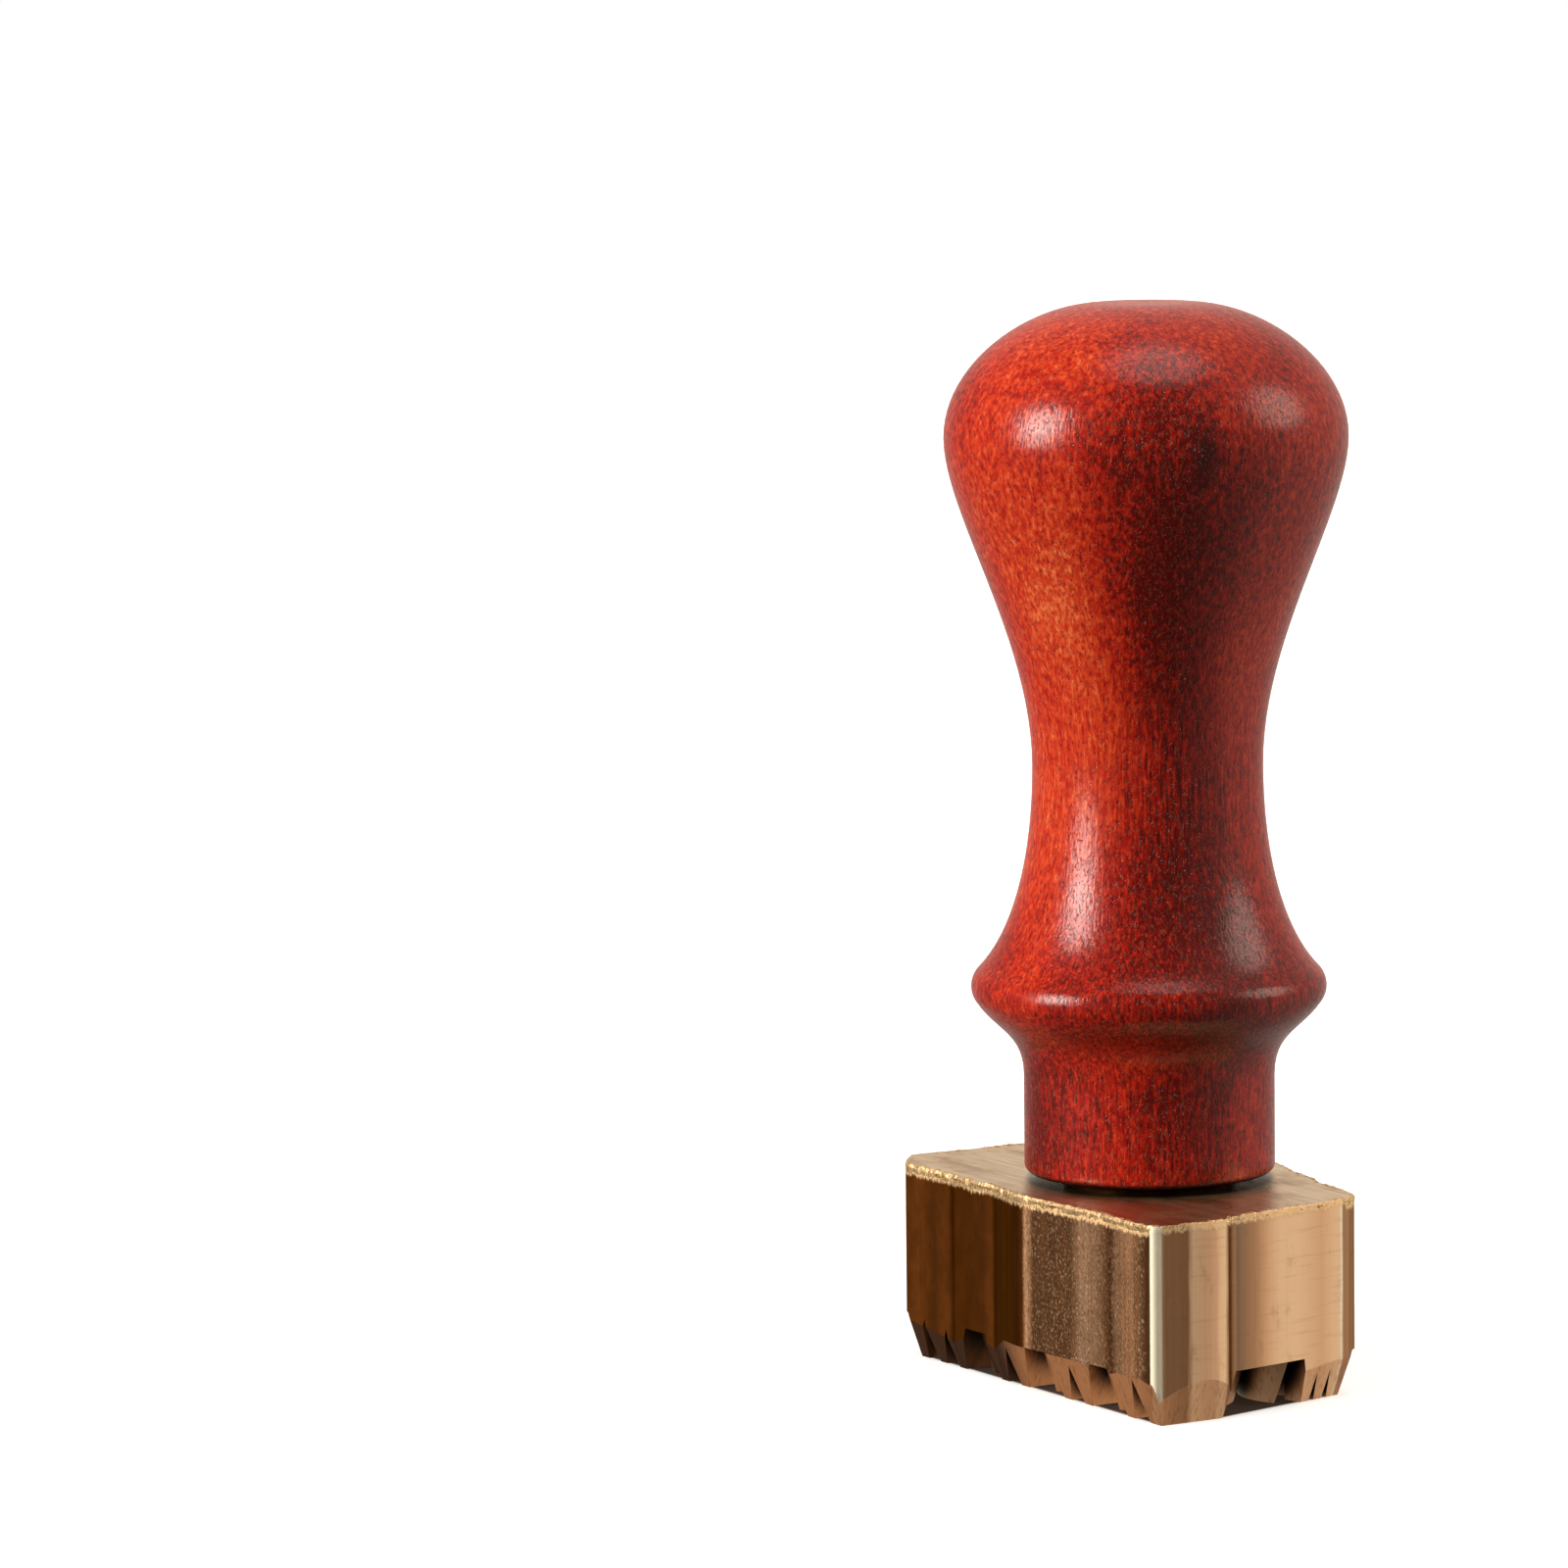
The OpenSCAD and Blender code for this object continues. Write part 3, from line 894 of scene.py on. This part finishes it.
@dataclass
class Handle:
    """Turned palm handle with a blind bore in its foot. Millimetres, heights above its foot."""

    foot_z: float = 17.9
    length: float = 75.9
    head: Point2 = (17.54, 64.3)
    crown_r: float = 3.9
    waist: Point2 = (10.05, 35.8)
    bead: Point2 = (13.3, 16.4)
    bead_r: float = 2.2
    bead_below: float = 34
    bead_above: float = 44
    neck: Point2 = (10.95, 8.5)
    rim_round: float = 0.8
    bore: Point2 = (5.83, 14.4)
    bore_bevel: float = 0.3
    cove_leads: Point2 = (3.8, 3.0)
    flare_leads: Point2 = (4.3, 8.3)
    belly_leads: Point2 = (11.1, 6.5)
    dome_leads: Point2 = (6.4, 6.3)
    neck_rings: tuple[float, ...] = (0.3, 0.5, 0.75, 1)
    crown_rings: tuple[float, ...] = (0.6, 0.25, 0)
    rim_steps: int = 6
    bead_steps: int = 12
    flare_steps: int = 20
    head_steps: int = 24
    steps: int = 160
    crease: float = 30

    def outline(self) -> list[Point2]:
        """Outline from the bottom of the bore, out over the foot and up to the crown.

        Returns:
            Radius and height of each point, in millimetres.
        """
        up = Vector((0, 1))
        neck, waist, head = Vector(self.neck), Vector(self.waist), Vector(self.head)
        bead, crown = Vector(self.bead), Vector((self.crown_r, self.length))
        below, above = math.radians(self.bead_below), math.radians(self.bead_above)
        low = bead + self.bead_r * Vector((math.cos(below), -math.sin(below)))
        high = bead + self.bead_r * Vector((math.cos(above), math.sin(above)))
        low_lead = low - self.cove_leads[1] * Vector((math.sin(below), math.cos(below)))
        high_lead = high + self.flare_leads[0] * Vector((-math.sin(above), math.cos(above)))
        neck_lead = neck + self.cove_leads[0] * up
        waist_leads = (waist - self.flare_leads[1] * up, waist + self.belly_leads[0] * up)
        head_leads = (head - self.belly_leads[1] * up, head + self.dome_leads[0] * up)
        crown_lead = crown + Vector((self.dome_leads[1], 0))
        rim = Vector((self.neck[0] - self.rim_round, self.rim_round))
        points = [(0, self.bore[1]), self.bore, (self.bore[0], self.bore_bevel)]
        points += [(self.bore[0] + self.bore_bevel, 0)]
        points += arc(rim, self.rim_round, -90, 0, self.rim_steps)
        points += [(self.neck[0], self.neck[1] * share) for share in self.neck_rings]
        points += bezier((neck, low), (neck_lead, low_lead), self.bead_steps)
        turn = arc(bead, self.bead_r, -self.bead_below, self.bead_above, self.bead_steps)
        points += turn[1:]
        points += bezier((high, waist), (high_lead, waist_leads[0]), self.flare_steps)
        points += bezier((waist, head), (waist_leads[1], head_leads[0]), self.head_steps)
        points += bezier((head, crown), (head_leads[1], crown_lead), self.head_steps)
        points += [(self.crown_r * share, self.length) for share in self.crown_rings]
        return [(radius, height + self.foot_z) for radius, height in points]

    def build(self) -> None:
        """Turns the handle and gives its bore the bare wood."""
        piece = turn_on_lathe("turned_handle", self.outline(), self.steps, self.crease)
        dress(piece, Hardwood().material(), BoredWood().material())
        radius = (self.bore[0] + self.bore_bevel / 2) * MM
        top = (self.foot_z + self.bore[1]) * MM + 10 * WELD
        for face in piece.data.polygons:
            middle = face.center
            face.material_index = int(middle.xy.length < radius and middle.z < top)
        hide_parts("handle")
        settle(piece, "grip")


@dataclass
class Hardware:
    """Threaded steel stud and the brass insert that is glued into the handle, in millimetres."""

    pitch: float = 1.25
    crest_r: float = 3.98
    root_r: float = 3.25
    stud_z: Point2 = (6.9, 28.9)
    tip_depth: float = 0.8
    tip_slope: float = 1.3
    thread_steps: int = 48
    thread_crease: float = 24
    insert_z: Point2 = (17.3, 30.3)
    insert_r: float = 5.8
    insert_bore: float = 4.05
    insert_steps: int = 96
    insert_crease: float = 25
    lead_in: float = 0.5
    flange: Point2 = (7.5, 0.6)
    flange_edge: float = 0.15
    end_edge: float = 0.4
    groove: float = 0.45
    groove_side: float = 0.35
    groove_step: float = 1.8
    groove_span: Point2 = (1.0, 1.5)

    def thread(self) -> None:
        """Rolls the thread: a screw modifier sweeps one pitch up the axis, then it is cut."""
        low, high = self.stud_z
        flat = self.pitch / 8
        slope = self.pitch / 2 - flat
        start = low - 2 * self.pitch
        outline = [
            (self.root_r, start),
            (self.root_r, start + flat),
            (self.crest_r, start + flat + slope),
            (self.crest_r, start + 2 * flat + slope),
            (self.root_r, start + self.pitch),
        ]
        piece = outline_mesh("threaded_stud", outline)
        bpy.ops.object.mode_set(mode="OBJECT")
        screw = piece.modifiers.new("sweep", "SCREW")
        screw.screw_offset = self.pitch * MM
        screw.iterations = math.ceil((high - low) / self.pitch) + 4
        screw.steps = screw.render_steps = self.thread_steps
        screw.use_merge_vertices = True
        screw.merge_threshold = WELD
        bpy.ops.object.modifier_apply(modifier=screw.name)
        bpy.ops.object.mode_set(mode="EDIT")
        for height, below in ((low, True), (high, False)):
            bpy.ops.mesh.select_all(action="SELECT")
            bpy.ops.mesh.bisect(
                plane_co=(0, 0, height * MM),
                plane_no=(0, 0, 1),
                use_fill=True,
                clear_inner=below,
                clear_outer=not below,
            )
        close_mesh()
        for vertex in piece.data.vertices:
            end = min(vertex.co.z / MM - low, high - vertex.co.z / MM)
            radius = vertex.co.xy.length / MM
            limit = self.crest_r - self.tip_depth + end * self.tip_slope
            if radius > limit > 0:
                vertex.co.x *= limit / radius
                vertex.co.y *= limit / radius
        bpy.ops.object.shade_smooth_by_angle(angle=math.radians(self.thread_crease))
        dress(piece, STEEL.material())
        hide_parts("stud")
        settle(piece, "stud")

    def insert(self) -> None:
        """Turns the flanged insert with its glue grooves."""
        low, high = self.insert_z
        flange_r, flange_t = self.flange
        mouth = self.insert_bore + self.lead_in
        points = [
            (self.insert_bore, low + self.lead_in),
            (mouth, low),
            (flange_r - self.flange_edge, low),
            (flange_r, low + self.flange_edge),
            (flange_r, low + flange_t - self.flange_edge),
            (flange_r - self.flange_edge, low + flange_t),
            (self.insert_r, low + flange_t),
        ]
        height = low + flange_t + self.groove_span[0]
        while height < high - self.groove_span[1]:
            for side, depth in enumerate((0, self.groove, self.groove, 0)):
                points.append((self.insert_r - depth, height + side * self.groove_side))
            height += self.groove_step
        points += [
            (self.insert_r, high - self.end_edge),
            (self.insert_r - self.end_edge, high),
            (mouth, high),
            (self.insert_bore, high - self.lead_in),
            (self.insert_bore, low + self.lead_in),
        ]
        piece = turn_on_lathe("flanged_insert", points, self.insert_steps, self.insert_crease)
        dress(piece, SHADED_BRASS.material())
        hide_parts("threaded_insert")
        settle(piece, "grip")


class Region(IntEnum):
    """Regions of the die's surface, in the order of its material slots."""

    WALL = 0
    TOP = 1
    FLANK = 2
    FACE = 3
    FLOOR = 4
    HOLE = 5


@dataclass
class Die:
    """Milled brass die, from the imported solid, and the burr round its top, in millimetres."""

    height: float = 17.3
    recess: float = 3.95
    wall_z: float = 3.2
    hole_r: float = 4.7
    skin: float = 0.1
    level: float = 0.9
    upright: float = 0.06
    merge_angle: float = 0.3
    smooth: float = 16
    burr_r: float = 0.3
    burr_sunk: float = 0.24
    burr_in: Point2 = (0.986, 0.99)
    burr_cuts: int = 7
    burr_grain: float = 0.7
    burr_ragged: float = 0.34
    burr_level: float = 0.55
    burr_hang: float = 1.7
    burr_crease: float = 40

    def region(self, face: bpy.types.MeshPolygon) -> Region:
        """Region of a face, by its place and slope.

        Args:
            face: Face of the die.

        Returns:
            The region.
        """
        place = face.center / MM
        slope = face.normal.z
        if place.xy.length < self.hole_r and place.z > self.recess + 1:
            return Region.HOLE
        if slope > self.level and place.z > self.height - self.skin:
            return Region.TOP
        if slope < -self.level:
            return Region.FACE if place.z < self.skin else Region.FLOOR
        return Region.WALL if abs(slope) < self.upright and place.z > self.wall_z else Region.FLANK

    def block(self, solid: Piece) -> Piece:
        """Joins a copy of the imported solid's faces, smooths its curves and dresses each region.

        Args:
            solid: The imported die.

        Returns:
            The dressed die.
        """
        piece = bpy.data.objects.new("milled_die", solid.data.copy())
        bpy.context.scene.collection.objects.link(piece)
        select_only(piece)
        bpy.ops.mesh.customdata_custom_splitnormals_clear()
        bpy.ops.object.mode_set(mode="EDIT")
        bpy.ops.mesh.select_all(action="SELECT")
        bpy.ops.mesh.remove_doubles(threshold=FACET_WELD)
        bpy.ops.mesh.dissolve_limited(angle_limit=math.radians(self.merge_angle))
        bpy.ops.mesh.normals_make_consistent(inside=False)
        bpy.ops.object.mode_set(mode="OBJECT")
        bpy.ops.object.shade_smooth_by_angle(angle=math.radians(self.smooth))
        finishes = {
            Region.WALL: FlutedWall(),
            Region.TOP: MilledTop(),
            Region.FLANK: ReliefFlank(),
            Region.FACE: FACE_BRASS,
            Region.FLOOR: FLOOR_BRASS,
            Region.HOLE: SHADED_BRASS,
        }
        dress(piece, *(finishes[region].material() for region in Region))
        for face in piece.data.polygons:
            face.material_index = self.region(face)
        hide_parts("die_block")
        settle(piece, "die")
        return piece

    def rim(self, mesh: bpy.types.Mesh) -> set[tuple[int, int]]:
        """Edges round the outside of the top face.

        Args:
            mesh: Mesh of the dressed die.

        Returns:
            Keys of the edges.
        """
        top = (self.height - self.skin) * MM
        counts: dict[tuple[int, int], int] = {}
        for face in mesh.polygons:
            if face.normal.z > self.level and face.center.z > top:
                for key in face.edge_keys:
                    counts[key] = counts.get(key, 0) + 1
        clear = 2 * self.hole_r * MM
        return {
            key
            for key, count in counts.items()
            if count == 1 and all(mesh.vertices[v].co.xy.length > clear for v in key)
        }

    def burr(self, block: Piece) -> None:
        """Draws the torn lip along the outer edge of the top face.

        Args:
            block: The dressed die.
        """
        rim = self.rim(block.data)
        select_only(block)
        bpy.ops.object.mode_set(mode="EDIT")
        bpy.ops.mesh.select_mode(type="EDGE")
        bpy.ops.mesh.select_all(action="DESELECT")
        bpy.ops.object.mode_set(mode="OBJECT")
        for edge in block.data.edges:
            edge.select = edge.key in rim
        bpy.ops.object.mode_set(mode="EDIT")
        bpy.ops.mesh.duplicate()
        bpy.ops.mesh.separate(type="SELECTED")
        bpy.ops.object.mode_set(mode="OBJECT")
        piece = next(o for o in bpy.context.selected_objects if o is not block)
        piece.parent = None
        for key in list(piece.keys()):
            del piece[key]
        select_only(piece)
        named("burr_lip")
        bpy.ops.object.mode_set(mode="EDIT")
        bpy.ops.mesh.select_all(action="SELECT")
        bpy.ops.transform.translate(value=(0, 0, -self.burr_sunk * MM))
        bpy.ops.transform.resize(value=(*self.burr_in, 1), center_override=(0, 0, 0))
        bpy.ops.mesh.subdivide(number_cuts=self.burr_cuts)
        bpy.ops.object.mode_set(mode="OBJECT")
        bpy.ops.object.convert(target="CURVE")
        wire = bpy.context.active_object
        wire.data.bevel_depth = self.burr_r * MM
        wire.data.bevel_resolution = 1
        bpy.ops.object.convert(target="MESH")
        piece = named("burr_lip")
        self.tear(piece)
        bpy.ops.object.shade_smooth_by_angle(angle=math.radians(self.burr_crease))
        dress(piece, BurrBrass().material())
        settle(piece, "die")

    def tear(self, piece: Piece) -> None:
        """Makes the lip ragged, keeps it inside the die's box and lets it hang over the edge.

        Args:
            piece: The lip.
        """
        grain = bpy.data.textures.new("torn_edge", "CLOUDS")
        grain.noise_scale = self.burr_grain * MM
        grain.noise_depth = 2
        tear = piece.modifiers.new("tear", "DISPLACE")
        tear.texture = grain
        tear.texture_coords = "LOCAL"
        tear.strength = self.burr_ragged * MM
        tear.mid_level = self.burr_level
        bpy.ops.object.modifier_apply(modifier=tear.name)
        low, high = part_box("die_block")
        middle = (self.height - self.burr_sunk) * MM
        for vertex in piece.data.vertices:
            vertex.co.x = min(max(vertex.co.x, low.x), high.x)
            if vertex.co.z < middle:
                vertex.co.z = middle + (vertex.co.z - middle) * self.burr_hang


@dataclass(frozen=True)
class Softbox:
    """One soft light, by its angle right of the camera, its elevation and its width, in degrees."""

    name: str
    side: float
    rise: float
    spread: float
    power: float
    tint: Colour


@dataclass
class Studio:
    """Pale floor, soft lights and the camera. Sizes in millimetres, angles in degrees."""

    camera_at: Point3 = (585.0, -386.4, 134.98)
    turn: float = 59.14
    pitch: float = 6.737
    roll: float = -0.606
    lens: float = 186.2
    sensor: float = 36
    clip: Point2 = (0.01, 50)
    lights: tuple[Softbox, ...] = (
        Softbox("key_light", -65, 24, 24, 2.5, (1.0, 0.95, 0.88)),
        Softbox("low_key_light", -65, 9, 22, 1.75, (1.0, 0.94, 0.86)),
        Softbox("fill_light", 91, 27, 32, 1.15, (1.0, 0.82, 0.7)),
        Softbox("top_light", 50, 85, 36, 0.95, (1.0, 0.93, 0.86)),
    )
    air: Colour = (1.0, 0.93, 0.82)
    haze: float = 0.6
    room: tuple[Point2, ...] = (
        (-180, 0.85), (-150, 0.42), (-128, 0.22), (-108, 0.22), (-85, 0.34), (-50, 0.2), (-20, 0.1),
        (25, 0.12), (56, 0.42), (72, 0.6), (88, 0.86), (130, 0.55), (155, 0.6), (180, 0.88),
    )
    storeys: tuple[Point2, ...] = ((-90, 0.45), (-40, 0.8), (-16, 1.0), (50, 1.0), (90, 0.8))
    sheet: float = 8
    paper: tuple[Colour, Colour] = ((0.9, 0.93, 0.96), (0.92, 0.95, 0.98))
    paper_rough: float = 0.9
    shine: Colour = (0.5, 0.5, 0.5)
    shade: Colour = (0.02, 0.012, 0.008)
    shade_edge: Point2 = (-0.1, 0.5)
    touching: float = 0.05

    def bearing(self, side: float, rise: float) -> Vector:
        """Direction from the stamp, by its angle right of the camera and its height.

        Args:
            side: Angle to the right, seen from above, in degrees.
            rise: Elevation, in degrees.

        Returns:
            Unit vector.
        """
        toward = math.atan2(self.camera_at[1], self.camera_at[0])
        angle = toward + math.radians(side)
        level, height = math.cos(math.radians(rise)), math.sin(math.radians(rise))
        return Vector((level * math.cos(angle), level * math.sin(angle), height))

    def lamp(self, box: Softbox) -> None:
        """Adds one soft light that is as wide as a distant softbox.

        Args:
            box: The softbox.
        """
        data = bpy.data.lights.new(box.name, "SUN")
        data.angle = math.radians(box.spread)
        data.energy = box.power
        data.color = box.tint
        lamp = bpy.data.objects.new(box.name, data)
        bpy.context.scene.collection.objects.link(lamp)
        lamp.rotation_euler = self.bearing(box.side, box.rise).to_track_quat("Z", "Y").to_euler()

    def backdrop(self) -> None:
        """Surrounds the stamp with a white room that mirrors dark at the front and on the left."""
        world = bpy.data.worlds.new("studio")
        bpy.context.scene.world = world
        g = Graph(world)
        toward = g.node("ShaderNodeTexCoord").outputs["Generated"]
        ahead = g.vector("DOT_PRODUCT", toward, self.bearing(0, 0))
        right = g.vector("DOT_PRODUCT", toward, self.bearing(90, 0))
        up = g.vector("DOT_PRODUCT", toward, (0, 0, 1))
        turn = g.plus(g.math("DIVIDE", g.math("ARCTAN2", right, ahead), 2 * math.pi), 0.5)
        height = g.plus(g.times(up, 0.5), 0.5)
        around = [
            (0.5 + side / 360, tuple(light * c for c in self.air)) for side, light in self.room
        ]
        rising = [
            (0.5 + math.sin(math.radians(rise)) / 2, (light,) * 3) for rise, light in self.storeys
        ]
        path = g.node("ShaderNodeLightPath")
        room = g.node("ShaderNodeBackground")
        seen = g.mix(1.0, g.ramp(turn, around), g.ramp(height, rising), "MULTIPLY")
        g.feed(room.inputs["Color"], seen)
        strength = g.rise(path.outputs["Is Diffuse Ray"], 0, 1, 1, self.haze)
        g.feed(room.inputs["Strength"], strength)
        white = g.node("ShaderNodeBackground")
        white.inputs["Color"].default_value = (1, 1, 1, 1)
        pick = g.node("ShaderNodeMixShader")
        g.feed(pick.inputs["Fac"], path.outputs["Is Camera Ray"])
        g.feed(pick.inputs[1], room.outputs["Background"])
        g.feed(pick.inputs[2], white.outputs["Background"])
        g.feed(g.node("ShaderNodeOutputWorld").inputs["Surface"], pick.outputs["Shader"])

    def floor(self, die: Piece) -> None:
        """Lays a wide pale sheet under the stamp, in full shade where the die stands on it.

        Args:
            die: The dressed die.
        """
        bpy.ops.object.select_all(action="DESELECT")
        bpy.ops.mesh.primitive_plane_add(size=self.sheet, location=(0, 0, 0))
        sheet = named("studio_floor")
        s = Shader(Finish.PAPER)
        touching = self.touching * MM
        feet = [vertex.co.xy / MM for vertex in die.data.vertices if vertex.co.z < touching]
        ring = [feet[index] for index in geometry.convex_hull_2d(feet)]
        depth: Feed = 1.0
        for start, end in zip(ring, ring[1:] + ring[:1]):
            along = (end - start).normalized()
            inward = Vector((-along.y, along.x, 0))
            inside = s.minus(s.vector("DOT_PRODUCT", s.place, inward), inward.xy.dot(start))
            depth = s.math("MINIMUM", inside, depth)
        under = s.rise(depth, *self.shade_edge)
        paper = s.mix(under, s.mix(s.noise((30, 30, 30), detail=3), *self.paper), self.shade)
        material = s.finish(
            Base_Color=paper,
            Roughness=self.paper_rough,
            Emission_Color=s.mix(under, self.shine, self.shade),
            Emission_Strength=1.0,
        )
        dress(sheet, material)
        sheet.visible_glossy = False
        sheet.visible_diffuse = False

    def camera(self) -> None:
        """Sets the camera at the photograph's place."""
        data = bpy.data.cameras.new("camera")
        data.lens = self.lens
        data.sensor_width = self.sensor
        data.clip_start, data.clip_end = self.clip
        camera = bpy.data.objects.new("camera", data)
        bpy.context.scene.collection.objects.link(camera)
        camera.rotation_mode = "QUATERNION"
        level = Euler((math.radians(90 - self.pitch), 0, math.radians(self.turn))).to_quaternion()
        camera.rotation_quaternion = level @ Quaternion((0, 0, 1), math.radians(self.roll))
        camera.location = Vector(self.camera_at) * MM
        bpy.context.scene.camera = camera

    def build(self) -> None:
        """Sets up the lights, the room and the camera."""
        self.backdrop()
        for box in self.lights:
            self.lamp(box)
        self.camera()
        view = bpy.context.scene.view_settings
        view.view_transform = "Standard"
        view.look = "None"


def main() -> None:
    logging.basicConfig(level=logging.INFO, format="%(name)s: %(message)s")
    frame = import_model()
    studio = Studio()
    studio.build()
    die = Die()
    block = die.block(frame["nodes"]["die_block"])
    die.burr(block)
    studio.floor(block)
    hardware = Hardware()
    hardware.thread()
    hardware.insert()
    Handle().build()


if __name__ == "__main__":
    main()
